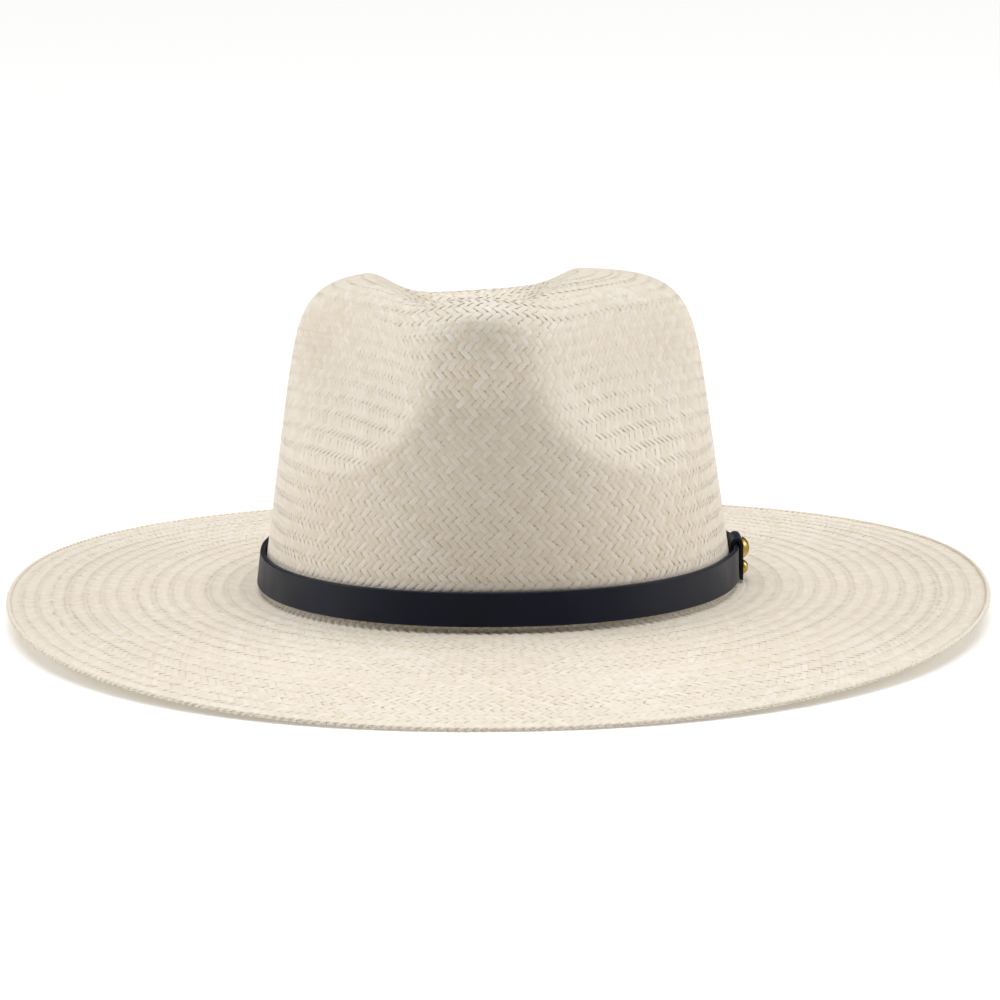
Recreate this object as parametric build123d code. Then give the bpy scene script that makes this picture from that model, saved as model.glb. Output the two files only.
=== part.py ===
from build123d import *
import math
import os

# ---- block shape: the crown, lengths in millimetres ----
crown_half_width = 86.4        # outside, at the break where crown meets brim
crown_half_length = 103.6
crown_plan_power = 2.15        # 2 is an ellipse, more is squarer
crown_height = 112.8           # from the break to the highest line of the crown
crown_taper = 0.178            # share of the plan lost from break to top
shoulder_power_up = 11.6
shoulder_power_out = 6.0
crown_fall_back = -0.030       # height given up per millimetre towards the back
crown_fall_bow = -0.0008       # and per square millimetre away from the middle

# ---- teardrop dent in the top ----
dent_depth = 27.0
dent_half_width = 40.0
dent_middle_y = 6.0
dent_front_reach = 80.0
dent_back_reach = 78.0
dent_narrowing = 0.38
dent_power = 3.0
dent_offset_x = -8.0
dent_wall_start = 75.0         # below this height the sides are not dented
dent_wall_ramp = 25.0

# ---- two finger pinches at the front ----
pinch_x = 60.0
pinch_offset_x = -6.0
pinch_y = -55.0
pinch_height = 82.0            # above the break
pinch_reach = 56.0
pinch_reach_down = 36.0
pinch_reach_up = 40.0
pinch_depth = 18.0
pinch_in = 0.75
pinch_back = 0.66
pinch_power = 2.4

# ---- the sharp prow between the pinches, where the front wall meets the top ----
prow_push = 8.0                # forward
prow_lift = 7.0                # up
prow_y = -82.0
prow_height = 102.0
prow_half_width = 35.0
prow_reach = 30.0

# ---- brim ----
straw_thickness = 1.3
brim_half_width = 179.4
brim_half_length = 198.0
brim_plan_power = 2.12
brim_side_rise = 7.7           # sides of the brim edge stand this much over front and back
brim_fall = 8.6                # height of the brim at the break over the edge's lowest line
brim_ease = 1.5
break_radius = 2.5
crown_tilt = 0.035             # slope of the crown base, front higher

# ---- sweatband ----
leather_thickness = 0.9
sweatband_height = 36.0
sweatband_foot = 3.4           # height of its lower edge over the break's lower side
wall_gap = 0.5                 # between the sweatband and the straw
reed_diameter = 1.5
tape_thickness = 0.3
reed_clearance = 0.08
seam_gap = 0.6                 # between the two ends of the leather, at the back
stitch_length = 2.6
stitch_pitch = 4.4
stitch_thickness = 0.45
stitch_row_height = 2.4        # over the sweatband's lower edge
stitch_standoff = 0.05
seam_stitch_count = 9
seam_stitch_length = 3.4

# ---- little ribbon bow over the seam ----
bow_width = 24.0
bow_height = 9.0
bow_waist = 3.4
bow_thickness = 0.7
bow_knot_width = 3.6
bow_knot_height = 4.6
bow_knot_wrap = 0.5
bow_gap = 0.4
bow_level = 0.55               # share of the sweatband height

# ---- hatband ----
strap_height = 11.8
strap_thickness = 1.7
strap_gap = 0.5                # between the strap's foot and the straw, all round
strap_seat = 2.0               # height of the strap's foot over the brim at the break
strap_lean = 1.4               # its top edge stands in from its foot, along the crown wall
strap_bulge_turn = 0.34        # angle round the hat over which the keeper pushes it upright
strap_edge_radius = 0.45
strap_end_gap = 0.6            # the two ends meet under the keeper

# ---- keeper: a folded tab over the strap ends ----
keeper_thickness = 1.1
keeper_width = 17.0
keeper_loop_rise = 1.5         # inside of the fold over the strap's top edge
keeper_gap = 0.3               # between the tab and the strap
keeper_leg_outside = 13.4      # below the strap's top edge
keeper_leg_inside = 2.6
keeper_corner_radius = 3.0

# ---- two domed studs ----
stud_upper_diameter = 8.2
stud_upper_dome = 2.7
stud_upper_below_top = 2.2     # centre below the strap's top edge
stud_lower_diameter = 5.6
stud_lower_dome = 2.3
stud_spacing = 7.2
stud_post_diameter = 2.0
stud_post_clearance = 0.05

# ---- how finely the skins are drawn ----
points_round = 44
tiny = 1e-3


def plan_radius(angle, half_width, half_length, power):
    c, s = abs(math.cos(angle)), abs(math.sin(angle))
    return ((c / half_width) ** power + (s / half_length) ** power) ** (-1 / power)


def clamp(value, low=0.0, high=1.0):
    return max(low, min(high, value))


def crown_profile(count):
    """(share of plan, height) from the top centre down to the break, evenly spaced by length."""
    fine = []
    steps = 1500
    for i in range(steps + 1):
        a = 0.5 * math.pi * i / steps
        up = math.cos(a) ** (2 / shoulder_power_up) if i < steps else 0.0
        out = math.sin(a) ** (2 / shoulder_power_out)
        fine.append((out * (1 - crown_taper * up), crown_height * up))
    length = [0.0]
    for (r0, z0), (r1, z1) in zip(fine, fine[1:]):
        length.append(length[-1] + math.hypot((r1 - r0) * crown_half_width, z1 - z0))
    result, k = [], 0
    for i in range(count + 1):
        want = length[-1] * i / count
        while k < steps - 1 and length[k + 1] < want:
            k += 1
        f = (want - length[k]) / (length[k + 1] - length[k])
        result.append(tuple(a + (b - a) * f for a, b in zip(fine[k], fine[k + 1])))
    return result


def crown_point(angle, share, height):
    """A point of the crown's outside, before it is stood on the brim."""
    radius = share * plan_radius(angle, crown_half_width, crown_half_length, crown_plan_power)
    x0, y0, z0 = radius * math.cos(angle), radius * math.sin(angle), height
    x, y = x0, y0
    for side in (-1, 1):
        dz = z0 - pinch_height
        dz /= pinch_reach_down if dz < 0 else pinch_reach_up
        centre = side * pinch_x + pinch_offset_x
        flat = math.hypot(x0 - centre, y0 - pinch_y) / pinch_reach
        away = math.hypot(flat, dz)
        press = pinch_depth * (1 - away ** pinch_power) ** 2 if away < 1 else 0.0
        x -= side * pinch_in * press
        y += pinch_back * press
    off = (((x0 - pinch_offset_x) / prow_half_width) ** 2 + ((y0 - prow_y) / prow_reach) ** 2
           + ((z0 - prow_height) / prow_reach) ** 2)
    prow = clamp(1 - off) ** 2
    y -= prow_push * prow
    reach = dent_front_reach if y < dent_middle_y else dent_back_reach
    along = (y - dent_middle_y) / reach
    narrow = 1 - dent_narrowing * clamp(-along, 0, 1.2) ** 1.5
    across = (x - dent_offset_x) / (dent_half_width * narrow)
    dent = clamp(1 - across ** 2) ** 2 * clamp(1 - abs(along) ** dent_power) ** 2
    z = z0 + prow_lift * prow
    z -= dent_depth * dent * clamp((z0 - dent_wall_start) / dent_wall_ramp)
    z *= crown_fall(y)
    return x, y, z + brim_fall + break_radius - crown_tilt * y


def plan_normal(x, y):
    p = crown_plan_power
    nx = math.copysign(abs(x) ** (p - 1) / crown_half_width ** p, x)
    ny = math.copysign(abs(y) ** (p - 1) / crown_half_length ** p, y)
    n = math.hypot(nx, ny)
    return nx / n, ny / n


def break_point(angle, turn):
    """The small fillet between crown and brim; turn runs from 0 at the wall to 1 at the brim."""
    radius = plan_radius(angle, crown_half_width, crown_half_length, crown_plan_power)
    x, y = radius * math.cos(angle), radius * math.sin(angle)
    nx, ny = plan_normal(x, y)
    out = break_radius * (1 - math.cos(0.5 * math.pi * turn))
    up = break_radius * (1 - math.sin(0.5 * math.pi * turn))
    return x + nx * out, y + ny * out, brim_fall + up - crown_tilt * y


def brim_point(angle, share):
    x0, y0, z0 = break_point(angle, 1.0)
    radius = plan_radius(angle, brim_half_width, brim_half_length, brim_plan_power)
    x1, y1 = radius * math.cos(angle), radius * math.sin(angle)
    z1 = straw_thickness + brim_side_rise * math.cos(angle) ** 2
    f = share ** brim_ease
    return x0 + (x1 - x0) * share, y0 + (y1 - y0) * share, z0 + (z1 - z0) * f


def outer_rings():
    """Rings of the straw's upper skin from the top centre to the brim edge."""
    profile = crown_profile(30)
    rings = [lambda a, q=q: crown_point(a, q[0], q[1]) for q in profile[1:]]
    rings += [lambda a, t=t: break_point(a, t) for t in (1 / 3, 2 / 3)]
    steps = 9
    rings += [lambda a, v=v: brim_point(a, v / steps) for v in range(0, steps + 1)]
    return rings


def ring_points(ring, count=points_round):
    return [ring(2 * math.pi * i / count) for i in range(count)]


def ring_wire(points):
    n = len(points)
    steps = [i / n for i in range(n + 1)]
    spline = Edge.make_spline([Vector(*p) for p in points], periodic=True, parameters=steps)
    return Wire([spline])


def skin_normals(rows):
    """Outward normals of a net of rings, by differences between neighbours."""
    result = []
    n = len(rows[0])
    for i, row in enumerate(rows):
        before, after = rows[max(i - 1, 0)], rows[min(i + 1, len(rows) - 1)]
        line = []
        for j in range(n):
            down = Vector(*after[j]) - Vector(*before[j])
            around = Vector(*row[(j + 1) % n]) - Vector(*row[j - 1])
            line.append(down.cross(around).normalized())
        result.append(line)
    return result


def top_centre():
    return Vector(*crown_point(0.0, tiny, crown_height))


def straw_body():
    """Crown and brim, one woven shell of even thickness with a rounded edge."""
    rows = [ring_points(r) for r in outer_rings()]
    normals = skin_normals(rows)
    t = straw_thickness

    def edge_wire(turn):
        back, out = t / 2 * (1 - math.cos(math.pi * turn)), t / 2 * math.sin(math.pi * turn)
        points = []
        for p, n in zip(rows[-1], normals[-1]):
            points.append(tuple(Vector(*p) - n * back + Vector(p[0], p[1], 0).normalized() * out))
        return ring_wire(points)

    roll = [edge_wire(k / 4) for k in range(5)]
    upper = [ring_wire(row) for row in rows[:-1]]
    lower = [ring_wire([tuple(Vector(*p) - n * t) for p, n in zip(row, line)])
             for row, line in zip(reversed(rows[:-1]), reversed(normals[:-1]))]
    top = top_centre()
    skins = (Shell.make_loft([Vertex(*top), *upper, roll[0]]),
             Shell.make_loft(roll),
             Shell.make_loft([roll[-1], *lower, Vertex(*(top - Vector(0, 0, t)))]))
    return Solid(Shell([face for skin in skins for face in skin.faces()]))


def crown_fall(y):
    """How far the crown's heights shrink at a place along its length."""
    return 1 + (crown_fall_back * y + crown_fall_bow * y * y) / crown_height


def wall_section(height, inset):
    """The crown wall's plan at a height over the brim, moved inward by inset."""

    def ring(angle):
        radius = plan_radius(angle, crown_half_width, crown_half_length, crown_plan_power)
        x, y = radius * math.cos(angle), radius * math.sin(angle)
        nx, ny = plan_normal(x, y)
        share = 1.0
        for _ in range(4):
            rise = clamp((height - break_radius) / crown_height / crown_fall(y * share))
            share = 1 - crown_taper * rise
        x, y = x * share - nx * inset, y * share - ny * inset
        return x, y, brim_fall + height - crown_tilt * y

    return ring


def wall_band(foot, height, inset, thickness):
    """A closed leather band that follows the inside of the crown wall."""
    levels = [foot + height * k / 3 for k in range(4)]
    outside = [ring_wire(ring_points(wall_section(h, inset))) for h in levels]
    inside = [ring_wire(ring_points(wall_section(h, inset + thickness))) for h in levels]
    return Solid.make_loft(outside) - Solid.make_loft(inside)


sweat_inset = straw_thickness + wall_gap


def sweatband():
    band = wall_band(sweatband_foot, sweatband_height, sweat_inset, leather_thickness)
    y = crown_half_length
    slot = Box(seam_gap, 40, 3 * sweatband_height).moved(Location((0, y - 10, brim_fall)))
    return (band - slot).solids()[0]


def reed_radius_outer():
    return reed_diameter / 2 + reed_clearance + tape_thickness


def reed_ring():
    """Middle line of the reed: under the leather's lower edge, its tape clear of the straw."""
    inset = sweat_inset + reed_radius_outer()
    return wall_section(sweatband_foot - reed_radius_outer() - reed_clearance, inset)


def round_ring(ring, diameter):
    """A closed round cord along a ring."""
    points = ring_points(ring, 32)
    path = ring_wire(points)
    start = Vector(*points[0])
    ahead = (Vector(*points[1]) - Vector(*points[-1])).normalized()
    profile = Plane(origin=start, z_dir=ahead) * Circle(diameter / 2)
    return sweep(profile, path=path).solids()[0]


def sweatband_reed():
    return round_ring(reed_ring(), reed_diameter)


def reed_tape():
    bore = reed_diameter + 2 * reed_clearance
    outside = round_ring(reed_ring(), bore + 2 * tape_thickness)
    return (outside - round_ring(reed_ring(), bore)).solids()[0]


def along_ring(ring, count, skip=0.0):
    """Evenly spaced places round a ring, starting at the back, with the direction of travel."""
    fine = 1440
    points = [Vector(*ring(0.5 * math.pi + 2 * math.pi * i / fine)) for i in range(fine + 1)]
    length = [0.0]
    for a, b in zip(points, points[1:]):
        length.append(length[-1] + (b - a).length)
    usable = length[-1] - 2 * skip
    places, k = [], 0
    for i in range(count):
        want = skip + usable * (i + 0.5) / count
        while length[k + 1] < want:
            k += 1
        f = (want - length[k]) / (length[k + 1] - length[k])
        places.append((points[k] + (points[k + 1] - points[k]) * f,
                       (points[k + 1] - points[k]).normalized()))
    return places, length[-1]


def sweatband_stitches():
    """A row of thread bars on the leather's face, just over the reed."""
    inset = sweat_inset + leather_thickness + stitch_standoff + stitch_thickness / 2
    ring = wall_section(sweatband_foot + stitch_row_height, inset)
    skip = stitch_pitch
    total = along_ring(ring, 1)[1]
    count = int((total - 2 * skip) / stitch_pitch)
    bars = []
    for place, ahead in along_ring(ring, count, skip)[0]:
        plane = Plane(origin=place, x_dir=ahead, z_dir=Vector(0, 0, 1))
        bars.append(plane * Box(stitch_length, stitch_thickness, stitch_thickness))
    return Compound(children=[b.solid() for b in bars])


def sweatband_seam_stitches():
    """Level bars across the join of the leather at the back."""
    inset = sweat_inset + leather_thickness + stitch_standoff + stitch_thickness / 2
    bars = []
    first = stitch_row_height + stitch_pitch
    span = sweatband_height - first - stitch_thickness * 2
    for k in range(seam_stitch_count):
        level = sweatband_foot + first + span * k / (seam_stitch_count - 1)
        if abs(level - sweatband_foot - bow_level * sweatband_height) < bow_height / 2 + 1:
            continue
        x, y, z = wall_section(level, inset)(0.5 * math.pi)
        bar = Box(seam_stitch_length, stitch_thickness, stitch_thickness)
        bars.append(bar.moved(Location((x, y, z))))
    return Compound(children=[b.solid() for b in bars])


def bow_plane(inward):
    """Upright plane on the leather at the back, moved inward from its face."""
    level = sweatband_foot + bow_level * sweatband_height
    inset = sweat_inset + leather_thickness + inward
    low = Vector(*wall_section(level - bow_height / 2, inset)(0.5 * math.pi))
    high = Vector(*wall_section(level + bow_height / 2, inset)(0.5 * math.pi))
    up = (high - low).normalized()
    return Plane(origin=(low + high) * 0.5, x_dir=Vector(1, 0, 0), z_dir=Vector(1, 0, 0).cross(up))


def bow_sag():
    """How far the curved leather comes in over the bow's half width."""
    return (bow_width / 2) ** 2 / (2 * crown_half_width ** 2 / crown_half_length)


def bow_ribbon():
    w, h, n = bow_width / 2, bow_height / 2, bow_waist / 2
    outline = [(-w, -h), (-0.3 * w, -n), (0.3 * w, -n), (w, -h),
               (w, h), (0.3 * w, n), (-0.3 * w, n), (-w, h)]
    inward = bow_gap + bow_sag() + bow_thickness / 2
    face = make_face(Polyline(*outline, close=True))
    plate = extrude(face, amount=bow_thickness / 2, both=True)
    return (bow_plane(inward) * plate).solids()[0]


def bow_knot():
    inward = bow_gap + bow_sag() + bow_thickness / 2
    depth = bow_thickness + 2 * bow_knot_wrap
    block = Box(bow_knot_width, bow_knot_height, depth)
    block = fillet(block.edges().filter_by(Axis.X), bow_knot_wrap * 0.8)
    window = Box(2 * bow_knot_width, bow_waist + 0.1, bow_thickness + 0.1)
    return (bow_plane(inward) * (block - window)).solids()[0]


strap_inner_half_width = crown_half_width + strap_gap
strap_inner_half_length = crown_half_length + strap_gap
strap_outer_x = strap_inner_half_width + strap_thickness
strap_top = strap_seat + strap_height


def tilted(shape):
    """Leans a hatband piece with the crown's base, front up, and lifts it to the brim."""
    lean = -math.degrees(math.atan(crown_tilt))
    return shape.moved(Location((0, 0, brim_fall)) * Location((0, 0, 0), (lean, 0, 0)))


def strap_wire(grow, height):
    """A level oval round the crown; it leans in with height, but not beside the keeper."""

    def ring(angle):
        radius = plan_radius(angle, crown_half_width, crown_half_length, crown_plan_power)
        x, y = radius * math.cos(angle), radius * math.sin(angle)
        nx, ny = plan_normal(x, y)
        turn = math.remainder(angle, 2 * math.pi)
        lean = strap_lean * (1 - math.exp(-(turn / strap_bulge_turn) ** 4))
        out = grow - lean * (height - strap_seat) / strap_height
        return x + nx * out, y + ny * out, height

    return ring_wire(ring_points(ring, 60))


def strap_skin(grow, over=0.0):
    levels = (strap_seat - over, strap_top + over)
    return Solid.make_loft([strap_wire(grow, level) for level in levels])


def hatband_strap():
    """A strip stood on its edge round the crown, its ends meeting under the keeper."""
    outside = strap_skin(strap_gap + strap_thickness)
    outside = fillet(outside.edges().group_by(Axis.Z)[0] + outside.edges().group_by(Axis.Z)[-1],
                     strap_edge_radius)
    inside = strap_skin(strap_gap, 1.0)
    cut = Box(20, strap_end_gap, 4 * strap_height).moved(Location((strap_outer_x, 0, 0)))
    ring = outside - inside - cut
    for level in stud_levels():
        hole = Cylinder(stud_post_diameter / 2 + stud_post_clearance, 3 * strap_thickness)
        ring -= hole.moved(Location((strap_outer_x, 0, level), (0, 90, 0)))
    return tilted(ring.solids().sort_by(SortBy.VOLUME)[-1])


def keeper_inner_face():
    return strap_outer_x + keeper_gap


def stud_levels():
    upper = strap_top - stud_upper_below_top
    return upper, upper - stud_spacing


def keeper_tab():
    """A tab folded over the strap's top edge: long leg outside, short leg behind."""
    half_gap = (strap_thickness + 2 * keeper_gap) / 2
    middle = strap_outer_x - strap_thickness / 2
    spring = strap_top + keeper_loop_rise - half_gap
    bottom_out = strap_top - keeper_leg_outside
    bottom_in = strap_top - keeper_leg_inside
    path = (
        Line((middle + half_gap + keeper_thickness / 2, 0, bottom_out),
             (middle + half_gap + keeper_thickness / 2, 0, spring)),
        ThreePointArc((middle + half_gap + keeper_thickness / 2, 0, spring),
                      (middle, 0, spring + half_gap + keeper_thickness / 2),
                      (middle - half_gap - keeper_thickness / 2, 0, spring)),
        Line((middle - half_gap - keeper_thickness / 2, 0, spring),
             (middle - half_gap - keeper_thickness / 2, 0, bottom_in)),
    )
    start = Plane(origin=(middle + half_gap + keeper_thickness / 2, 0, bottom_out),
                  x_dir=(1, 0, 0), z_dir=(0, 0, 1))
    tab = sweep(start * Rectangle(keeper_thickness, keeper_width), path=Wire(path_edges(path)))
    corner = tab.edges().filter_by(Axis.X).group_by(Axis.Z)[0]
    tab = fillet(corner, keeper_corner_radius)
    for level in stud_levels():
        hole = Cylinder(stud_post_diameter / 2 + stud_post_clearance, 2 * keeper_thickness)
        tab -= hole.moved(Location((keeper_inner_face() + keeper_thickness / 2, 0, level),
                                   (0, 90, 0)))
    return tilted(tab.solids()[0])


def path_edges(curves):
    return [e for c in curves for e in c.edges()]


def stud(diameter, dome, level):
    """A domed head with a post through the tab and into the strap."""
    post_length = keeper_thickness + keeper_gap + strap_thickness * 0.75
    post, head = stud_post_diameter / 2, diameter / 2
    turn = (head ** 2 + dome ** 2) / (2 * dome)
    half = math.acos(1 - dome / turn) / 2
    shoulder = (dome - turn * (1 - math.cos(half)), turn * math.sin(half))
    face = make_face([
        *Polyline((dome, 0), (-post_length, 0), (-post_length, post), (0, post), (0, head)).edges(),
        ThreePointArc((0, head), shoulder, (dome, 0)),
    ])
    body = revolve(face, Axis.X)
    place = Location((keeper_inner_face() + keeper_thickness, 0, level))
    return tilted(body.solids()[0].moved(place))


def stud_upper():
    return stud(stud_upper_diameter, stud_upper_dome, stud_levels()[0])


def stud_lower():
    return stud(stud_lower_diameter, stud_lower_dome, stud_levels()[1])


pieces = {
    "straw_body": straw_body,
    "sweatband": sweatband,
    "sweatband_reed": sweatband_reed,
    "reed_tape": reed_tape,
    "sweatband_stitches": sweatband_stitches,
    "sweatband_seam_stitches": sweatband_seam_stitches,
    "bow_ribbon": bow_ribbon,
    "bow_knot": bow_knot,
    "hatband_strap": hatband_strap,
    "keeper_tab": keeper_tab,
    "stud_upper": stud_upper,
    "stud_lower": stud_lower,
}

os.makedirs("parts", exist_ok=True)
shapes = {name: make() for name, make in pieces.items()}
ground = shapes["straw_body"].bounding_box().min.Z
for name, shape in shapes.items():
    placed = shape.moved(Location((0, 0, -ground)))
    export_step(placed, os.path.join("parts", name + ".step"))
    box = placed.bounding_box()
    print(name, "volume %.1f" % placed.volume, "valid", placed.is_valid,
          "size %.1f %.1f %.1f" % tuple(box.size), "z %.2f %.2f" % (box.min.Z, box.max.Z))
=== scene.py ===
"""A woven straw hat with a teardrop crown, a leather sweatband and a leather hatband."""
import logging
import math
from dataclasses import dataclass, field
from enum import Enum
from typing import Iterator, Optional, Union

import bmesh
import bpy
import numpy as np
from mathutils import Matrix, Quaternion, Vector


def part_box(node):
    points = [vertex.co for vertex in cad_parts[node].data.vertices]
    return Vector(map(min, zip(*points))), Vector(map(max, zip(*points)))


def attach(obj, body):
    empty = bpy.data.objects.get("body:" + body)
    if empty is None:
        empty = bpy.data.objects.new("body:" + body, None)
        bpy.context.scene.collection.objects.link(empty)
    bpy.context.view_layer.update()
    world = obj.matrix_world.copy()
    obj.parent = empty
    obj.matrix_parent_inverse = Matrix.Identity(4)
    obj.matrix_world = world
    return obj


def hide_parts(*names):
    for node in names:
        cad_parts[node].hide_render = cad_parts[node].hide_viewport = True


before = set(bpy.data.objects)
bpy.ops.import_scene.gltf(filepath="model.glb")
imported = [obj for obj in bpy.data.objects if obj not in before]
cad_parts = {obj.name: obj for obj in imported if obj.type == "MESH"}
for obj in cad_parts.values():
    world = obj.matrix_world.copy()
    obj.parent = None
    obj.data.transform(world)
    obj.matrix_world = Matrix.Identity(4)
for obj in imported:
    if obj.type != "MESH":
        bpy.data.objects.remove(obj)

log = logging.getLogger("hat")
logging.basicConfig(level=logging.INFO, format="%(message)s")

MM = 0.001
BAKE_MAP = "OFBake"
STRAND_MAP = "Strand"
TONE = "tone"
Socket = Union[bpy.types.NodeSocket, float, tuple]


# ---------------------------------------------------------------- helpers
def linear(hex_colour: str) -> tuple[float, float, float, float]:
    """Turns an sRGB hex colour to linear.

    Args:
        hex_colour: six hex digits after a hash.

    Returns:
        Linear red, green, blue and an alpha of 1.
    """
    values = [int(hex_colour[i:i + 2], 16) / 255 for i in (1, 3, 5)]
    red, green, blue = (v / 12.92 if v <= 0.04045 else ((v + 0.055) / 1.055) ** 2.4 for v in values)
    return red, green, blue, 1.0


def add_node(tree: bpy.types.NodeTree, kind: str, inputs: Optional[dict] = None,
             out: Union[int, str] = 0, **settings: object) -> bpy.types.NodeSocket:
    """Adds one shader node with its settings, values and links.

    Args:
        tree: the material's node tree.
        kind: the node's type.
        inputs: values or sockets by input name or number.
        out: which output to return.
        settings: properties set on the node itself.

    Returns:
        The chosen output socket.
    """
    node = tree.nodes.new(kind)
    for name, value in settings.items():
        setattr(node, name, value)
    for key, value in (inputs or {}).items():
        if isinstance(value, bpy.types.NodeSocket):
            tree.links.new(value, node.inputs[key])
        else:
            node.inputs[key].default_value = value
    return node.outputs[out]


def blend_colours(tree: bpy.types.NodeTree, amount: Socket, first: Socket, second: Socket,
                  mode: str = "MIX") -> bpy.types.NodeSocket:
    """Mixes two colours by an amount, in the named blend mode."""
    return add_node(tree, "ShaderNodeMix", {0: amount, 6: first, 7: second}, out=2,
                    data_type="RGBA", blend_type=mode)


def ramp(tree: bpy.types.NodeTree, value: Socket, low: float, high: float,
         to_low: float = 0.0, to_high: float = 1.0) -> bpy.types.NodeSocket:
    """Spreads the range low..high of a value over to_low..to_high, clamped."""
    return add_node(tree, "ShaderNodeMapRange", {0: value, 1: low, 2: high, 3: to_low, 4: to_high})


def new_material(name: str, **shader: object) -> tuple[bpy.types.Material, bpy.types.NodeTree,
                                                        bpy.types.Node]:
    """Makes a material with one shader and constant values on its sockets.

    Args:
        name: the material's name.
        shader: socket values, with underscores for the spaces in their names.

    Returns:
        The material, its node tree and its shader node.
    """
    material = bpy.data.materials.new(name)
    material.use_nodes = True
    shader_node = material.node_tree.nodes["Principled BSDF"]
    for key, value in shader.items():
        shader_node.inputs[key.replace("_", " ")].default_value = value
    return material, material.node_tree, shader_node


def finished(bm: bmesh.types.BMesh, name: str, smooth: bool = True) -> bpy.types.Object:
    """Turns a bmesh to an object that stands at the origin."""
    mesh = bpy.data.meshes.new(name)
    bm.to_mesh(mesh)
    bm.free()
    mesh.polygons.foreach_set("use_smooth", [smooth] * len(mesh.polygons))
    piece = bpy.data.objects.new(name, mesh)
    bpy.context.scene.collection.objects.link(piece)
    return piece


# ---------------------------------------------------------------- finishes
@dataclass(frozen=True)
class StrawFinish:
    """Toquilla straw, split, bleached and woven: a dull sheen along each strand."""

    name: str = "woven_toquilla_straw"
    pale: str = "#f6eee2"
    warm: str = "#eadcc4"
    fleck: str = "#d2bd98"
    roughness: float = 0.52
    streak_across: float = 0.35 * MM
    streak_along: float = 9 * MM
    patch: float = 45 * MM
    fleck_share: float = 0.35
    patch_share: float = 0.22

    def material(self) -> bpy.types.Material:
        """Builds the material from the strand's own map and tone."""
        material, tree, shader = new_material(self.name, Roughness=self.roughness,
                                              Sheen_Weight=0.15, Sheen_Roughness=0.5)
        tone = add_node(tree, "ShaderNodeAttribute", out="Fac", attribute_name=TONE)
        strand = add_node(tree, "ShaderNodeUVMap", uv_map=STRAND_MAP)
        run = add_node(tree, "ShaderNodeMapping", {
            "Vector": strand, "Scale": (1 / self.streak_along, 1 / self.streak_across, 1)})
        streak = add_node(tree, "ShaderNodeTexNoise", {"Vector": run, "Scale": 1.0, "Detail": 2.0})
        place = add_node(tree, "ShaderNodeTexCoord", out="Object")
        patch = add_node(tree, "ShaderNodeTexNoise", {"Vector": place, "Scale": 1 / self.patch,
                                                      "Detail": 3.0})
        base = blend_colours(tree, ramp(tree, tone, 0.0, 1.0, 0.0, 1.0),
                             linear(self.pale), linear(self.warm))
        base = blend_colours(tree, ramp(tree, streak, 0.52, 0.75, 0.0, self.fleck_share), base,
                             linear(self.fleck))
        base = blend_colours(tree, ramp(tree, patch, 0.40, 0.70, 0.0, self.patch_share), base,
                             linear(self.warm))
        tree.links.new(base, shader.inputs["Base Color"])
        bump = add_node(tree, "ShaderNodeBump", {"Height": streak, "Strength": 0.35,
                                                 "Distance": 0.08 * MM})
        tree.links.new(bump, shader.inputs["Normal"])
        return material


@dataclass(frozen=True)
class StrawShadeFinish:
    """The straw between the strands, partly its own colour and partly painted shade of the gaps:
    dull and browner.
    """

    name: str = "straw_underlayer"
    # both colours are duller and browner than the strands: painted shade between them, varied at
    # random
    colour: str = "#e2d6bd"
    dark: str = "#cbb994"
    roughness: float = 0.8
    grain: float = 1.5 * MM

    def material(self) -> bpy.types.Material:
        """Builds the material on object coordinates."""
        material, tree, shader = new_material(self.name, Roughness=self.roughness)
        place = add_node(tree, "ShaderNodeTexCoord", out="Object")
        noise = add_node(tree, "ShaderNodeTexNoise", {"Vector": place, "Scale": 1 / self.grain,
                                                      "Detail": 2.0})
        base = blend_colours(tree, ramp(tree, noise, 0.35, 0.65), linear(self.colour),
                             linear(self.dark))
        tree.links.new(base, shader.inputs["Base Color"])
        return material


@dataclass(frozen=True)
class LeatherFinish:
    """Smooth dyed leather: fine pores, a waxy sheen and slow changes of shade."""

    name: str
    colour: str
    worn: str
    roughness: float = 0.42
    coat: float = 0.12
    specular: float = 0.5
    pore: float = 0.55 * MM
    patch: float = 18 * MM
    bump: float = 0.25

    def material(self) -> bpy.types.Material:
        """Builds the material on object coordinates."""
        material, tree, shader = new_material(self.name, Coat_Weight=self.coat,
                                              Coat_Roughness=0.35,
                                              Specular_IOR_Level=self.specular)
        place = add_node(tree, "ShaderNodeTexCoord", out="Object")
        pores = add_node(tree, "ShaderNodeTexVoronoi", {"Vector": place, "Scale": 1 / self.pore},
                         out="Distance", feature="DISTANCE_TO_EDGE")
        patch = add_node(tree, "ShaderNodeTexNoise", {"Vector": place, "Scale": 1 / self.patch,
                                                      "Detail": 4.0})
        base = blend_colours(tree, ramp(tree, patch, 0.38, 0.72), linear(self.colour),
                             linear(self.worn))
        tree.links.new(base, shader.inputs["Base Color"])
        rough = ramp(tree, patch, 0.3, 0.7, self.roughness - 0.06, self.roughness + 0.08)
        tree.links.new(rough, shader.inputs["Roughness"])
        creases = ramp(tree, pores, 0.0, 0.12)
        bump = add_node(tree, "ShaderNodeBump", {"Height": creases, "Strength": self.bump,
                                                 "Distance": 0.05 * MM})
        tree.links.new(bump, shader.inputs["Normal"])
        return material


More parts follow.
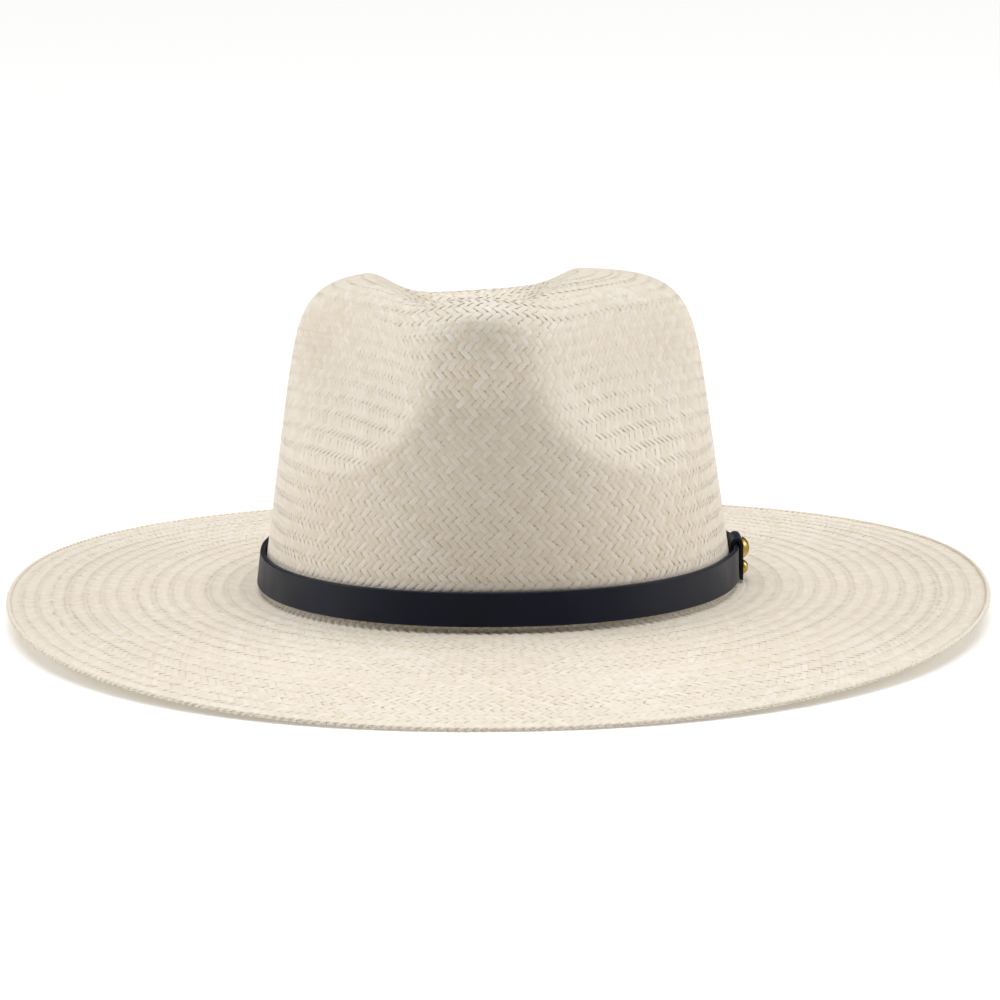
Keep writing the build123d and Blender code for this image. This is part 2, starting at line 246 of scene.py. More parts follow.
@dataclass(frozen=True)
class BrassFinish:
    """Polished brass, lacquered and a little tarnished in patches."""

    name: str = "polished_brass"
    colour: str = "#c9ab62"
    tarnish: str = "#96793c"
    roughness: float = 0.26
    patch: float = 3 * MM

    def material(self) -> bpy.types.Material:
        """Builds the material on object coordinates."""
        material, tree, shader = new_material(self.name, Metallic=1.0)
        place = add_node(tree, "ShaderNodeTexCoord", out="Object")
        patch = add_node(tree, "ShaderNodeTexNoise", {"Vector": place, "Scale": 1 / self.patch,
                                                      "Detail": 4.0})
        base = blend_colours(tree, ramp(tree, patch, 0.45, 0.75), linear(self.colour),
                             linear(self.tarnish))
        tree.links.new(base, shader.inputs["Base Color"])
        tree.links.new(ramp(tree, patch, 0.3, 0.7, self.roughness, self.roughness + 0.16),
                       shader.inputs["Roughness"])
        return material


@dataclass(frozen=True)
class ThreadFinish:
    """Twisted cotton or plastic in a plain colour, with fine fibres across it and painted shade in
    the grooves of its twist.
    """

    name: str
    colour: str
    # the darker colour, painted as shade in the grooves of the twist
    shade: str
    roughness: float = 0.75
    pitch: float = 0.5 * MM

    def material(self) -> bpy.types.Material:
        """Builds the material on object coordinates."""
        material, tree, shader = new_material(self.name, Roughness=self.roughness)
        place = add_node(tree, "ShaderNodeTexCoord", out="Object")
        twist = add_node(tree, "ShaderNodeTexWave", {"Vector": place, "Scale": 0.16 / self.pitch,
                                                     "Distortion": 2.0}, out="Fac",
                         bands_direction="DIAGONAL")
        # painted shade: where the twist's bump sinks, the colour goes over to the darker shade
        # colour
        base = blend_colours(tree, ramp(tree, twist, 0.2, 0.8), linear(self.shade),
                             linear(self.colour))
        tree.links.new(base, shader.inputs["Base Color"])
        bump = add_node(tree, "ShaderNodeBump", {"Height": twist, "Strength": 0.4,
                                                 "Distance": 0.06 * MM})
        tree.links.new(bump, shader.inputs["Normal"])
        return material


# ---------------------------------------------------------------- the hat's form
@dataclass
class HatForm:
    """The straw's upper skin as a function of the angle round it and the way down from the top."""

    crown_half_width: float = 86.4 * MM
    crown_half_length: float = 103.6 * MM
    crown_plan_power: float = 2.15
    crown_height: float = 112.8 * MM
    crown_taper: float = 0.178
    shoulder_power_up: float = 11.6
    shoulder_power_out: float = 6.0
    crown_fall_back: float = -0.030
    crown_fall_bow: float = -0.0008 / MM
    dent_depth: float = 27.0 * MM
    dent_half_width: float = 40.0 * MM
    dent_middle_y: float = 6.0 * MM
    dent_front_reach: float = 80.0 * MM
    dent_back_reach: float = 78.0 * MM
    dent_narrowing: float = 0.38
    dent_power: float = 3.0
    dent_offset_x: float = -8.0 * MM
    dent_wall_start: float = 75.0 * MM
    dent_wall_ramp: float = 25.0 * MM
    pinch_x: float = 60.0 * MM
    pinch_offset_x: float = -6.0 * MM
    pinch_y: float = -55.0 * MM
    pinch_height: float = 82.0 * MM
    pinch_reach: float = 56.0 * MM
    pinch_reach_down: float = 36.0 * MM
    pinch_reach_up: float = 40.0 * MM
    pinch_depth: float = 18.0 * MM
    pinch_in: float = 0.75
    pinch_back: float = 0.66
    pinch_power: float = 2.4
    prow_push: float = 8.0 * MM
    prow_lift: float = 7.0 * MM
    prow_y: float = -82.0 * MM
    prow_height: float = 102.0 * MM
    prow_half_width: float = 35.0 * MM
    prow_reach: float = 30.0 * MM
    straw_thickness: float = 1.3 * MM
    brim_half_width: float = 179.4 * MM
    brim_half_length: float = 198.0 * MM
    brim_plan_power: float = 2.12
    brim_side_rise: float = 7.7 * MM
    brim_fall: float = 8.6 * MM
    brim_ease: float = 1.5
    break_radius: float = 2.5 * MM
    crown_tilt: float = 0.035
    lift: float = 0.0
    way: np.ndarray = field(init=False, repr=False)
    shares: np.ndarray = field(init=False, repr=False)
    heights: np.ndarray = field(init=False, repr=False)

    def __post_init__(self) -> None:
        """Works out the crown's profile by length and stands the form on the floor."""
        a = np.linspace(0, 0.5 * math.pi, 6001)
        up = np.cos(a) ** (2 / self.shoulder_power_up)
        up[-1] = 0.0
        share = np.sin(a) ** (2 / self.shoulder_power_out) * (1 - self.crown_taper * up)
        height = self.crown_height * up
        steps = np.hypot(np.diff(share) * self.crown_half_width, np.diff(height))
        self.way = np.concatenate([[0.0], np.cumsum(steps)])
        self.shares, self.heights = share, height
        self.crown_way = float(self.way[-1])
        self.break_way = 0.5 * math.pi * self.break_radius
        self.brim_way = self.brim_half_width - self.crown_half_width - self.break_radius
        self.end_way = self.crown_way + self.break_way + self.brim_way
        ring = np.linspace(0, 2 * math.pi, 721)
        tall = max(float(self.point(ring, np.full_like(ring, w))[..., 2].max())
                   for w in np.linspace(0.2, 0.9, 60) * self.crown_way)
        self.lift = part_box("straw_body")[1][2] - tall

    def plan_radius(self, angle: np.ndarray, wide: float, long: float, power: float) -> np.ndarray:
        """Distance from the axis to a superellipse along an angle."""
        c, s = np.abs(np.cos(angle)) / wide, np.abs(np.sin(angle)) / long
        return (c ** power + s ** power) ** (-1 / power)

    def plan_normal(self, x: np.ndarray, y: np.ndarray) -> tuple[np.ndarray, np.ndarray]:
        """Level normal of the crown's plan at a place on it."""
        p = self.crown_plan_power
        nx = np.sign(x) * np.abs(x / self.crown_half_width) ** (p - 1) / self.crown_half_width
        ny = np.sign(y) * np.abs(y / self.crown_half_length) ** (p - 1) / self.crown_half_length
        n = np.hypot(nx, ny)
        return nx / n, ny / n

    def crown_fall(self, y: np.ndarray) -> np.ndarray:
        """How far the crown's heights shrink at a place along its length."""
        return 1 + (self.crown_fall_back * y + self.crown_fall_bow * y * y) / self.crown_height

    def crown_point(self, angle: np.ndarray, share: np.ndarray, height: np.ndarray) -> np.ndarray:
        """A point of the crown's outside, with its dent and pinches."""
        radius = share * self.plan_radius(angle, self.crown_half_width, self.crown_half_length,
                                          self.crown_plan_power)
        x0, y0 = radius * np.cos(angle), radius * np.sin(angle)
        x, y = x0.copy(), y0.copy()
        dz = height - self.pinch_height
        dz = np.where(dz < 0, dz / self.pinch_reach_down, dz / self.pinch_reach_up)
        for side in (-1, 1):
            centre = side * self.pinch_x + self.pinch_offset_x
            flat = np.hypot(x0 - centre, y0 - self.pinch_y) / self.pinch_reach
            away = np.clip(np.hypot(flat, dz), 0, 1)
            press = self.pinch_depth * (1 - away ** self.pinch_power) ** 2
            x -= side * self.pinch_in * press
            y += self.pinch_back * press
        off = (((x0 - self.pinch_offset_x) / self.prow_half_width) ** 2
               + ((y0 - self.prow_y) / self.prow_reach) ** 2
               + ((height - self.prow_height) / self.prow_reach) ** 2)
        prow = np.clip(1 - off, 0, 1) ** 2
        y -= self.prow_push * prow
        reach = np.where(y < self.dent_middle_y, self.dent_front_reach, self.dent_back_reach)
        along = (y - self.dent_middle_y) / reach
        narrow = 1 - self.dent_narrowing * np.clip(-along, 0, 1.2) ** 1.5
        across = (x - self.dent_offset_x) / (self.dent_half_width * narrow)
        dent = (np.clip(1 - across ** 2, 0, 1) ** 2
                * np.clip(1 - np.abs(along) ** self.dent_power, 0, 1) ** 2)
        z = height + self.prow_lift * prow - self.dent_depth * dent * np.clip(
            (height - self.dent_wall_start) / self.dent_wall_ramp, 0, 1)
        z = z * self.crown_fall(y) + self.brim_fall + self.break_radius - self.crown_tilt * y
        return np.stack([x, y, z + self.lift], -1)

    def break_point(self, angle: np.ndarray, turn: np.ndarray) -> np.ndarray:
        """A point of the small fillet between crown and brim."""
        radius = self.plan_radius(angle, self.crown_half_width, self.crown_half_length,
                                  self.crown_plan_power)
        x, y = radius * np.cos(angle), radius * np.sin(angle)
        nx, ny = self.plan_normal(x, y)
        out = self.break_radius * (1 - np.cos(0.5 * math.pi * turn))
        up = self.break_radius * (1 - np.sin(0.5 * math.pi * turn))
        z = self.brim_fall + up - self.crown_tilt * y + self.lift
        return np.stack([x + nx * out, y + ny * out, z], -1)

    def brim_point(self, angle: np.ndarray, share: np.ndarray) -> np.ndarray:
        """A point of the brim's upper side."""
        start = self.break_point(angle, np.ones_like(angle))
        radius = self.plan_radius(angle, self.brim_half_width, self.brim_half_length,
                                  self.brim_plan_power)
        z1 = self.straw_thickness + self.brim_side_rise * np.cos(angle) ** 2 + self.lift
        end = np.stack([radius * np.cos(angle), radius * np.sin(angle), z1], -1)
        flat = share[..., None]
        ease = np.clip(share, 0, None)[..., None] ** self.brim_ease
        gain = np.concatenate([np.repeat(flat, 2, -1), ease], -1)
        return start + (end - start) * gain

    def point(self, angle: np.ndarray, way: np.ndarray) -> np.ndarray:
        """A point of the upper skin.

        Args:
            angle: the angle round the hat, from its right side towards its back.
            way: metres walked down from the top's middle, over crown and brim.

        Returns:
            The points, with x, y and z last.
        """
        share = np.interp(way, self.way, self.shares)
        height = np.interp(way, self.way, self.heights)
        result = self.crown_point(angle, share, height)
        turn = (way - self.crown_way) / self.break_way
        bent = turn > 0
        result[bent] = self.break_point(angle[bent], np.clip(turn[bent], 0, 1))
        along = (way - self.crown_way - self.break_way) / self.brim_way
        flat = along > 0
        result[flat] = self.brim_point(angle[flat], along[flat])
        return result

    def placed(self, angle: np.ndarray, way: np.ndarray) -> tuple[np.ndarray, np.ndarray]:
        """Points in the middle of the straw's thickness, with their outward normals."""
        step_way = 0.4 * MM
        step_angle = 0.004
        down = self.point(angle, way + step_way) - self.point(angle, np.maximum(way - step_way, 0))
        around = self.point(angle + step_angle, way) - self.point(angle - step_angle, way)
        normal = np.cross(down, around)
        normal /= np.linalg.norm(normal, axis=-1, keepdims=True) + 1e-12
        return self.point(angle, way) - normal * (self.straw_thickness / 2), normal

    def mean_radius(self, way: float) -> float:
        """Mean distance from the axis of the ring at a way down from the top."""
        crown = 0.5 * (self.crown_half_width + self.crown_half_length)
        if way < self.crown_way:
            return crown * float(np.interp(way, self.way, self.shares))
        brim = 0.5 * (self.brim_half_width + self.brim_half_length)
        along = (way - self.crown_way) / (self.end_way - self.crown_way)
        return crown + (brim - crown) * along


# ---------------------------------------------------------------- the woven straw
class Lean(Enum):
    """Which way a family of strands winds round the hat."""

    LEFT = -1
    RIGHT = 1


@dataclass
class StrandSet:
    """Strands side by side, as arrays of strand by sample."""

    middle: np.ndarray
    normal: np.ndarray
    width: np.ndarray
    thickness: np.ndarray
    tone: np.ndarray


@dataclass
class WovenStraw:
    """Crown and brim as real strands, two over and two under, on one form."""

    form: HatForm
    strand_width: float = 1.98 * MM
    strand_thickness: float = 0.34 * MM
    wave: float = 0.165 * MM
    brim_relief: float = 0.52
    crown_pitch: float = 3.22 * MM
    brim_pitch_start: float = 2.85 * MM
    brim_growth: float = 1.2
    shoulder_share: float = 0.79
    top_ratio: float = 0.8
    top_pitch_gain: float = 1.04
    top_hole_radius: float = 2 * MM
    edge_border: float = 3.6 * MM
    edge_lap: float = 0.5 * MM
    edge_inset: float = 0.9 * MM
    edge_pitch_share: float = 0.9
    strand_drift: float = 0.035
    strand_wobble: float = 0.02
    cord_turn: float = 6.2 * MM
    cord_samples: int = 1600
    cord_inset: float = 0.6 * MM
    cord_swing: float = 0.32 * MM
    cord_half_out: float = 0.62 * MM
    cord_half_up: float = 0.52 * MM
    cord_length: float = 1.19
    cord_girth: float = 3.6 * MM
    cord_bands: int = 8
    underlayer_around: int = 240
    underlayer_down: int = 150
    underlayer_thickness: float = 0.12 * MM
    underlayer_depth: float = 0.12 * MM
    faces_per_piece: int = 76000
    seed: int = 11
    finish: StrawFinish = StrawFinish()
    shade: StrawShadeFinish = StrawShadeFinish()

    def rows(self, start: float, stop: float, count: int) -> np.ndarray:
        """Ways down at which strands cross, for a number of strands each way round."""
        ways = [start]
        while ways[-1] < stop:
            ways.append(ways[-1] + math.pi * self.form.mean_radius(ways[-1]) / count)
        return np.array(ways)

    def zones(self) -> Iterator[tuple[str, np.ndarray, int]]:
        """Rings of even weave: where the ring grows too wide, strands are added.

        Returns:
            The part of the hat, the crossing rows and the number of strands each way.
        """
        form = self.form
        shoulder = float(np.interp(self.shoulder_share, form.shares, form.way))
        radius, way = self.shoulder_share * form.mean_radius(form.crown_way), shoulder
        inner = []
        while radius > self.top_hole_radius:
            smaller = radius * self.top_ratio
            share = smaller / form.mean_radius(form.crown_way)
            start = float(np.interp(share, form.shares, form.way))
            pitch = self.crown_pitch * self.top_pitch_gain
            inner.append((start, way, max(8, round(2 * math.pi * radius / pitch))))
            radius, way = smaller, start
        for start, stop, count in reversed(inner):
            yield "crown_top", self.rows(start, stop, count), count
        count = round(2 * math.pi * form.mean_radius(form.crown_way) / self.crown_pitch)
        foot = form.crown_way + form.break_way
        yield "crown_side", self.rows(shoulder, foot, count), count
        radius, way = form.mean_radius(foot), foot
        last = form.end_way - self.edge_border
        while way < last:
            bigger = radius * self.brim_growth
            along = (bigger - form.mean_radius(form.crown_way)) / (
                form.mean_radius(form.end_way) - form.mean_radius(form.crown_way))
            stop = min(form.crown_way + (form.end_way - form.crown_way) * along, last)
            count = round(2 * math.pi * radius / self.brim_pitch_start)
            rows = self.rows(way, stop, count)
            yield "brim", rows, count
            radius, way = form.mean_radius(float(rows[-1])), float(rows[-1])
        pitch = self.brim_pitch_start * self.edge_pitch_share
        count = round(2 * math.pi * form.mean_radius(form.end_way) / pitch)
        rows = self.rows(last - self.edge_lap, form.end_way - self.edge_inset, count)
        yield "brim_edge", rows, count

    def family(self, rows: np.ndarray, count: int, lean: Lean, relief: float,
               rng: np.random.Generator) -> StrandSet:
        """One family of parallel strands over a ring of weave.

        Args:
            rows: ways down at which the strands cross.
            count: strands in the family.
            lean: which way they wind.
            relief: how much the weave stands out, as a share of the crown's.
            rng: the source of the small differences.

        Returns:
            The family, as arrays.
        """
        last = len(rows) - 1
        step = np.arange(-1, 2 * last + 2) / 2
        way = np.interp(step, np.arange(last + 1), rows)
        way[0] = rows[0] - 0.5 * (rows[1] - rows[0])
        way[-1] = rows[-1] + 0.5 * (rows[-1] - rows[-2])
        strand = np.arange(count)[:, None]
        angle = 2 * math.pi * strand / count + lean.value * math.pi * step[None, :] / count
        apart = 2 * math.pi / count
        angle = angle + rng.normal(0, self.strand_drift, (count, 1)) * apart
        angle = angle + rng.normal(0, self.strand_wobble, angle.shape) * apart
        way = np.repeat(np.clip(way, 0.5 * MM, self.form.end_way)[None, :], count, 0)
        middle, normal = self.form.placed(angle, way)
        over = np.cos(0.5 * math.pi * (step - 0.5))
        wave = np.sign(over) * np.minimum(np.abs(over) * 1.5, 1.0) * lean.value
        wave = np.where(np.abs(over) < 1e-6, 0.0, wave)
        wave[0] = wave[-1] = -1.0
        middle = middle + normal * (self.wave * relief * wave)[None, :, None]
        scale = self.form.mean_radius(float(way[0, len(step) // 2]))
        pitch = 2 * math.pi * scale / count / math.sqrt(2)
        widths = np.minimum(self.strand_width * 1.3, pitch * 1.02)
        width = widths * (1 + rng.normal(0, 0.045, (count, 1))) * (0.93 + 0.07 * np.abs(over))
        tone = np.clip(rng.normal(0.35, 0.20, (count, 1)) + rng.normal(0, 0.06, angle.shape), 0, 1)
        thick = np.full(angle.shape, self.strand_thickness * relief)
        return StrandSet(middle, normal, np.broadcast_to(width, angle.shape), thick, tone)

    def mesh(self, name: str, sets: list[StrandSet]) -> bpy.types.Object:
        """Joins strands in one mesh: four-sided lens sections, closed at both ends.

        Args:
            name: the piece's name.
            sets: strands to join.

        Returns:
            The piece, with its own bake map, its strand map in metres and its tone.
        """
        points, quads, bake, strand_map, tones = [], [], [], [], []
        total = sum(len(s.middle) for s in sets)
        base, row = 0, 0
        for s in sets:
            n, m = s.middle.shape[:2]
            along = np.gradient(s.middle, axis=1)
            along /= np.linalg.norm(along, axis=-1, keepdims=True) + 1e-12
            side = np.cross(along, s.normal)
            side /= np.linalg.norm(side, axis=-1, keepdims=True) + 1e-12
            up = np.cross(side, along)
            half_w, half_t = s.width[..., None] / 2, s.thickness[..., None] / 2
            ring = np.stack([s.middle + side * half_w, s.middle + up * half_t,
                             s.middle - side * half_w, s.middle - up * half_t], 2)
            points.append(ring.reshape(-1, 3))
            tones.append(np.repeat(s.tone.reshape(-1), 4))
            index = base + np.arange(n * m * 4).reshape(n, m, 4)
            after = np.roll(index, -1, 2)
            walls = np.stack([index[:, :-1], index[:, 1:], after[:, 1:], after[:, :-1]], -1)
            length = np.concatenate([np.zeros((n, 1)), np.cumsum(np.linalg.norm(
                np.diff(s.middle, axis=1), axis=-1), axis=1)], 1)
            far = length / (length[:, -1:] + 1e-12) * 0.98 + 0.01
            low = (row + np.arange(n))[:, None, None] + 0.04
            lane = low + 0.92 * np.arange(5)[None, None, :] / 4
            u = np.stack([far[:, :-1], far[:, 1:], far[:, 1:], far[:, :-1]], -1)[:, :, None, :]
            u = np.repeat(u, 4, 2)
            v0, v1 = lane[..., :-1], lane[..., 1:]
            v = np.repeat(np.stack([v0, v0, v1, v1], -1), m - 1, 1) / total
            metre = np.stack([length[:, :-1], length[:, 1:], length[:, 1:], length[:, :-1]], -1)
            metre = np.repeat(metre[:, :, None, :], 4, 2)
            width = 2 * float(s.width.mean())
            metre_v = (v * total) * width + 0.37 * MM
            quads.append(walls.reshape(-1, 4))
            bake.append(np.stack([u, v], -1).reshape(-1, 2))
            strand_map.append(np.stack([metre, metre_v], -1).reshape(-1, 2))
            for caps, edge in ((index[:, 0], 0.004), (index[:, -1, ::-1], 0.996)):
                quads.append(caps)
                spot = np.array([[0, 0], [0.004, 0], [0.004, 1], [0, 1]])
                cap_v = (low[:, 0] + 0.92 * spot[None, :, 1]) / total
                cap_u = np.full(cap_v.shape, edge) + spot[None, :, 0] * 0.5
                bake.append(np.stack([cap_u, cap_v], -1).reshape(-1, 2))
                strand_map.append(np.stack([cap_u * 0, cap_v * total * width], -1).reshape(-1, 2))
            base += n * m * 4
            row += n
        return array_mesh(name, np.concatenate(points), np.concatenate(quads),
                          {BAKE_MAP: np.concatenate(bake), STRAND_MAP: np.concatenate(strand_map)},
                          np.concatenate(tones), crisp=True)

    def underlayer(self) -> bpy.types.Object:
        """The straw seen between the strands: one thin skin in the middle of the thickness, whose
        duller, browner colours paint the shade in the gaps.
        """
        bm = bmesh.new()
        bmesh.ops.create_grid(bm, x_segments=self.underlayer_around,
                              y_segments=self.underlayer_down, size=0.5)
        flat = np.array([v.co[:2] for v in bm.verts]) + 0.5
        angle = 2 * math.pi * flat[:, 0]
        way = 2.0 * MM + (self.form.end_way - 3.0 * MM) * flat[:, 1]
        middle, normal = self.form.placed(angle, way)
        middle = middle - normal * self.underlayer_depth
        for vert, place in zip(bm.verts, middle):
            vert.co = place
        bmesh.ops.remove_doubles(bm, verts=bm.verts, dist=0.02 * MM)
        rim = [e for e in bm.edges if e.is_boundary]
        inner = [e for e in rim if (e.verts[0].co.xy.length < 20 * MM)]
        bmesh.ops.contextual_create(bm, geom=inner)
        bmesh.ops.recalc_face_normals(bm, faces=bm.faces)
        piece = finished(bm, "straw_underlayer")
        wall = piece.modifiers.new("wall", "SOLIDIFY")
        wall.thickness, wall.offset = self.underlayer_thickness, 0.0
        # the skin's browner finish is painted shade in the gaps between the strands
        piece.data.materials.append(self.shade.material())
        return piece

    def edge_cord(self) -> list[bpy.types.Object]:
        """Two plies of straw wound round the rim, where the ends are woven back."""
        angle = np.linspace(0, 2 * math.pi, self.cord_samples, endpoint=False)
        way = np.full(self.cord_samples, self.form.end_way)
        middle, normal = self.form.placed(angle, way)
        along = np.roll(middle, -1, 0) - np.roll(middle, 1, 0)
        along /= np.linalg.norm(along, axis=1, keepdims=True)
        out = np.cross(along, normal)
        steps = np.linalg.norm(np.roll(middle, -1, 0) - middle, axis=1)
        length = np.concatenate([[0], np.cumsum(steps)[:-1]])
        turns = round(steps.sum() / self.cord_turn)
        phase = 2 * math.pi * turns * length / steps.sum()
        rng = np.random.default_rng(self.seed + 5)
        pieces = []
        for ply in (0, 1):
            a = phase + math.pi * ply
            path = middle - out * self.cord_inset + out * (np.cos(a) * self.cord_swing)[:, None] \
                + normal * (np.sin(a) * self.cord_swing)[:, None]
            pieces.append(self.ring_tube(f"brim_edge_ply_{ply + 1}", path, normal, rng))
        return pieces

    def ring_tube(self, name: str, path: np.ndarray, up: np.ndarray,
                  rng: np.random.Generator) -> bpy.types.Object:
        """A closed six-sided tube along a ring of points.

        Args:
            name: the piece's name.
            path: the ring's points.
            up: the straw's outward normal at each of them.
            rng: the source of the changes of tone.

        Returns:
            The tube, with its bake map folded in bands and its strand map in metres.
        """
        n, sides = len(path), 6
        along = np.roll(path, -1, 0) - np.roll(path, 1, 0)
        along /= np.linalg.norm(along, axis=1, keepdims=True)
        out = np.cross(along, up)
        out /= np.linalg.norm(out, axis=1, keepdims=True)
        top = np.cross(out, along)
        a = 2 * math.pi * np.arange(sides) / sides
        ring = path[:, None] + out[:, None] * (np.cos(a) * self.cord_half_out)[None, :, None] \
            + top[:, None] * (np.sin(a) * self.cord_half_up)[None, :, None]
        index = np.arange(n * sides).reshape(n, sides)
        nxt, after = np.roll(index, -1, 0), np.roll(index, -1, 1)
        quads = np.stack([index, nxt, np.roll(nxt, -1, 1), after], -1).reshape(-1, 4)
        u0 = np.arange(n) / n
        u = np.stack([u0, u0 + 1 / n, u0 + 1 / n, u0], -1)[:, None, :].repeat(sides, 1)
        k = np.arange(sides) / sides
        v = np.stack([k, k, k + 1 / sides, k + 1 / sides], -1)[None].repeat(n, 0)
        folded_u = (u * self.cord_bands) % 1.0
        folded_u = np.where((folded_u < 1e-6) & (u > u0[:, None, None] + 1e-9), 1.0, folded_u)
        band = np.floor(u0 * self.cord_bands)[:, None, None]
        folded_v = (band + 0.05 + 0.9 * v) / self.cord_bands
        bake = np.stack([folded_u * 0.98 + 0.01, folded_v], -1).reshape(-1, 2)
        metres = np.stack([u * self.cord_length, v * self.cord_girth], -1).reshape(-1, 2)
        tone = np.clip(rng.normal(0.35, 0.15, n), 0, 1)
        return array_mesh(name, ring.reshape(-1, 3), quads,
                          {BAKE_MAP: bake, STRAND_MAP: metres}, np.repeat(tone, sides))

    def build(self) -> list[bpy.types.Object]:
        """Weaves every ring, splits the strands in pieces and dresses them."""
        rng = np.random.default_rng(self.seed)
        groups: dict[str, list[StrandSet]] = {}
        for part, rows, count in self.zones():
            relief = self.brim_relief if part.startswith("brim") else 1.0
            for lean in Lean:
                groups.setdefault(part, []).append(self.family(rows, count, lean, relief, rng))
        pieces = []
        for part, sets in groups.items():
            batch: list[StrandSet] = []
            filled, number = 0, 1
            for s in sets:
                first = 0
                while first < len(s.middle):
                    each = 4 * (s.middle.shape[1] - 1) + 2
                    room = max(1, (self.faces_per_piece - filled) // each)
                    last = min(first + room, len(s.middle))
                    batch.append(StrandSet(s.middle[first:last], s.normal[first:last],
                                           s.width[first:last], s.thickness[first:last],
                                           s.tone[first:last]))
                    filled += (last - first) * each
                    first = last
                    if filled >= self.faces_per_piece - each:
                        pieces.append(self.mesh(f"{part}_weave_{number}", batch))
                        batch, filled, number = [], 0, number + 1
            if batch:
                pieces.append(self.mesh(f"{part}_weave_{number}", batch))
        pieces += self.edge_cord()
        straw = self.finish.material()
        for piece in pieces:
            piece.data.materials.append(straw)
        pieces.append(self.underlayer())
        for piece in pieces:
            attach(piece, "hat")
            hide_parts("straw_body")
        return pieces


def array_mesh(name: str, points: np.ndarray, quads: np.ndarray, maps: dict[str, np.ndarray],
               tone: np.ndarray, crisp: bool = False) -> bpy.types.Object:
    """Makes an object of four-sided faces from arrays.

    Args:
        name: the piece's name.
        points: every vertex.
        quads: four vertex numbers a face.
        maps: texture coordinates a corner, by map name.
        tone: one value a vertex.
        crisp: whether the points come in rings of four whose first and third run along edges.

    Returns:
        The object, smooth shaded.
    """
    mesh = bpy.data.meshes.new(name)
    mesh.vertices.add(len(points))
    mesh.vertices.foreach_set("co", points.astype(np.float32).ravel())
    mesh.loops.add(quads.size)
    mesh.loops.foreach_set("vertex_index", quads.astype(np.int32).ravel())
    mesh.polygons.add(len(quads))
    mesh.polygons.foreach_set("loop_start", np.arange(0, quads.size, 4, dtype=np.int32))
    mesh.polygons.foreach_set("use_smooth", np.ones(len(quads), dtype=bool))
    mesh.update(calc_edges=True)
    for key, values in maps.items():
        layer = mesh.uv_layers.new(name=key)
        layer.data.foreach_set("uv", values.astype(np.float32).ravel())
    mesh.attributes.new(TONE, "FLOAT", "POINT").data.foreach_set("value", tone.astype(np.float32))
    if crisp:
        ends = np.empty(2 * len(mesh.edges), dtype=np.int32)
        mesh.edges.foreach_get("vertices", ends)
        ends = ends.reshape(-1, 2) % 4
        sharp = (ends[:, 0] == ends[:, 1]) & (ends[:, 0] % 2 == 0)
        mesh.attributes.new("sharp_edge", "BOOLEAN", "EDGE").data.foreach_set("value", sharp)
    piece = bpy.data.objects.new(name, mesh)
    bpy.context.scene.collection.objects.link(piece)
    return piece


# ---------------------------------------------------------------- dressing the made parts
@dataclass
class Trimmings:
    """Leather, thread, ribbon and brass on the parts that keep their own shape."""

    band: LeatherFinish = LeatherFinish("navy_calf_leather", "#070c1d", "#0c1329", roughness=0.46,
                                        specular=0.26, coat=0.0)
    lining: LeatherFinish = LeatherFinish("brown_sweatband_leather", "#6b4326", "#7c5232",
                                          roughness=0.5, coat=0.05, pore=0.8 * MM)
    brass: BrassFinish = BrassFinish()
    # the second colour of each thread finish is painted shade in the grooves of its twist
    thread: ThreadFinish = ThreadFinish("waxed_cotton_thread", "#d9cba8", "#b9a67c")
    tape: ThreadFinish = ThreadFinish("cotton_tape", "#cdbd97", "#ab9a73")
    reed: ThreadFinish = ThreadFinish("reed_plastic", "#dcdad0", "#c9c6ba", roughness=0.4)
    ribbon: ThreadFinish = ThreadFinish("navy_ribbed_ribbon", "#232845", "#171b30", roughness=0.6,
                                        pitch=0.7 * MM)

    def dress(self) -> None:
        """Gives each part that stays its own finish."""
        made = {
            "hatband_strap": self.band, "keeper_tab": self.band, "sweatband": self.lining,
            "stud_upper": self.brass, "stud_lower": self.brass,
            "sweatband_stitches": self.thread, "sweatband_seam_stitches": self.thread,
            "reed_tape": self.tape, "sweatband_reed": self.reed,
            "bow_ribbon": self.ribbon, "bow_knot": self.ribbon,
        }
        ready: dict[str, bpy.types.Material] = {}
        for node, finish in made.items():
            if finish.name not in ready:
                ready[finish.name] = finish.material()
            part = bpy.data.objects[node]
            part.data.materials.clear()
            part.data.materials.append(ready[finish.name])
            log.info("dressed %s in %s", node, finish.name)


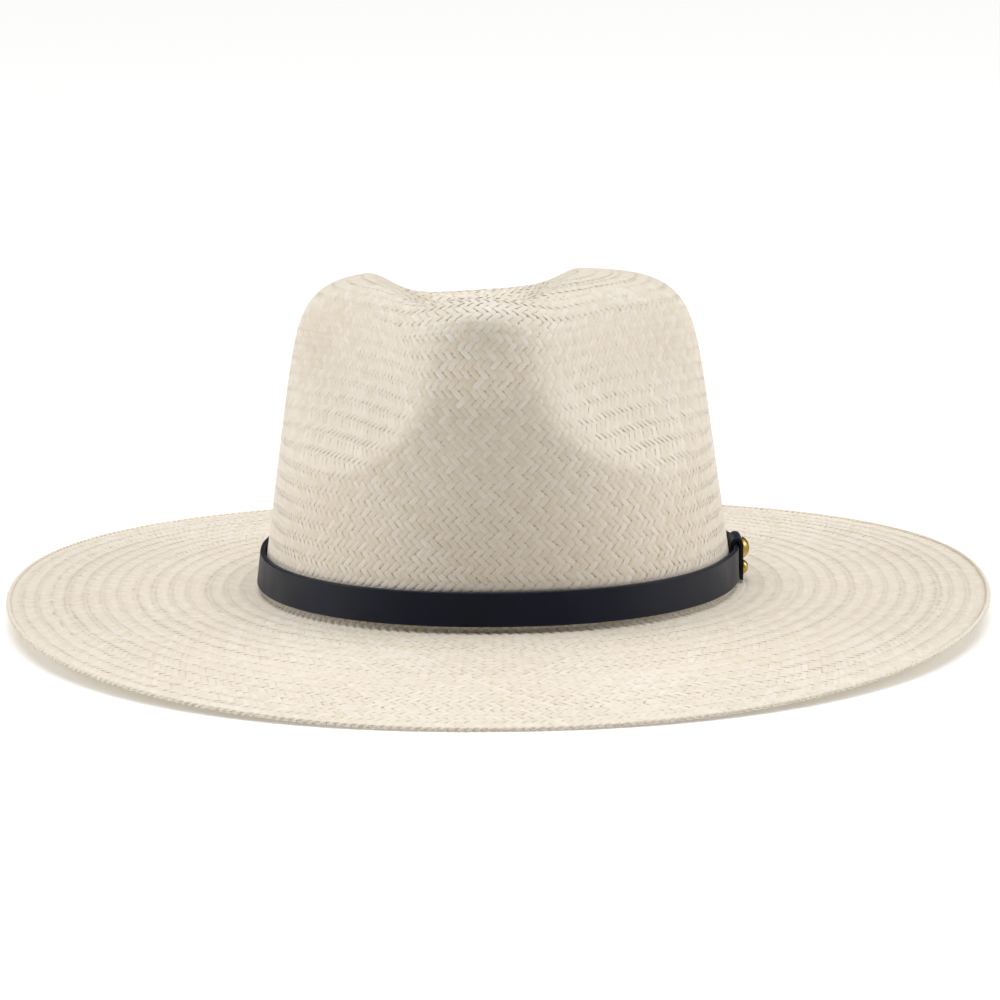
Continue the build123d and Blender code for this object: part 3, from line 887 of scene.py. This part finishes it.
# ---------------------------------------------------------------- the studio
@dataclass
class Studio:
    """Plain pale floor, soft lights at both sides and above, and a long lens."""

    distance: float = 1.592
    pitch_deg: float = 10.79
    roll_deg: float = 0.55
    target: tuple[float, float, float] = (1.0 * MM, 0.0, 38.9 * MM)
    lens_mm: float = 155.9
    sensor_mm: float = 36.0
    floor_colour: str = "#f4f4f3"
    floor_half: float = 30.0
    floor_glow: float = 0.25
    sky: float = 0.04
    overhead: float = 2.52
    box_size: float = 0.9
    box_power: float = 9.8
    box_out: float = 1.5
    box_height: float = 0.75

    def build(self) -> None:
        """Stands the floor, the lights and the camera."""
        self.floor()
        self.lights()
        self.camera()

    def floor(self) -> None:
        """A wide pale floor, which is not part of the hat."""
        bm = bmesh.new()
        bmesh.ops.create_grid(bm, x_segments=1, y_segments=1, size=self.floor_half)
        piece = finished(bm, "studio_floor", smooth=False)
        material, _, shader = new_material("pale_studio_floor", Roughness=0.9,
                                           Base_Color=linear(self.floor_colour),
                                           Emission_Color=linear(self.floor_colour),
                                           Emission_Strength=self.floor_glow)
        shader.inputs["Specular IOR Level"].default_value = 0.1
        piece.data.materials.append(material)

    def lights(self) -> None:
        """A wide soft light from above, one at each side, and a dimmer surround."""
        world = bpy.data.worlds.new("studio")
        world.use_nodes = True
        world.node_tree.nodes["Background"].inputs[0].default_value = (1, 1, 1, 1)
        world.node_tree.nodes["Background"].inputs[1].default_value = self.sky
        bpy.context.scene.world = world
        bpy.context.scene.view_settings.view_transform = "Standard"
        overhead = bpy.data.lights.new("overhead", "SUN")
        overhead.energy, overhead.angle = self.overhead, math.radians(60)
        self.hang(overhead, (0.0, 0.25, 1.6))
        for name, side in (("left", -1), ("right", 1)):
            lamp = bpy.data.lights.new(f"softbox_{name}", "AREA")
            lamp.size, lamp.energy = self.box_size, self.box_power
            self.hang(lamp, (self.box_out * side, 0.05, self.box_height))

    def hang(self, lamp: bpy.types.Light, place: tuple[float, float, float]) -> None:
        """Hangs a light at a place, turned to the hat."""
        holder = bpy.data.objects.new(lamp.name, lamp)
        bpy.context.scene.collection.objects.link(holder)
        holder.location = place
        holder.rotation_mode = "QUATERNION"
        aim = Vector((0, 0, 0.06)) - Vector(place)
        holder.rotation_quaternion = aim.to_track_quat("-Z", "Y")

    def camera(self) -> None:
        """A long lens a little above the brim."""
        lens = bpy.data.cameras.new("camera")
        lens.sensor_width, lens.lens = self.sensor_mm, self.lens_mm
        holder = bpy.data.objects.new("camera", lens)
        bpy.context.scene.collection.objects.link(holder)
        pitch = math.radians(self.pitch_deg)
        target = Vector(self.target)
        holder.location = target + self.distance * Vector((0, -math.cos(pitch), math.sin(pitch)))
        look = (target - holder.location).to_track_quat("-Z", "Y")
        holder.rotation_mode = "QUATERNION"
        holder.rotation_quaternion = look @ Quaternion((0, 0, 1), -math.radians(self.roll_deg))
        bpy.context.scene.camera = holder


def main() -> None:
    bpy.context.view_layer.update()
    form = HatForm()
    straw = WovenStraw(form)
    faces = 0
    for piece in straw.build():
        faces += len(piece.data.polygons)
        log.info("%s %d faces", piece.name, len(piece.data.polygons))
    log.info("straw: %d faces", faces)
    Trimmings().dress()
    Studio().build()


if __name__ == "__main__":
    main()
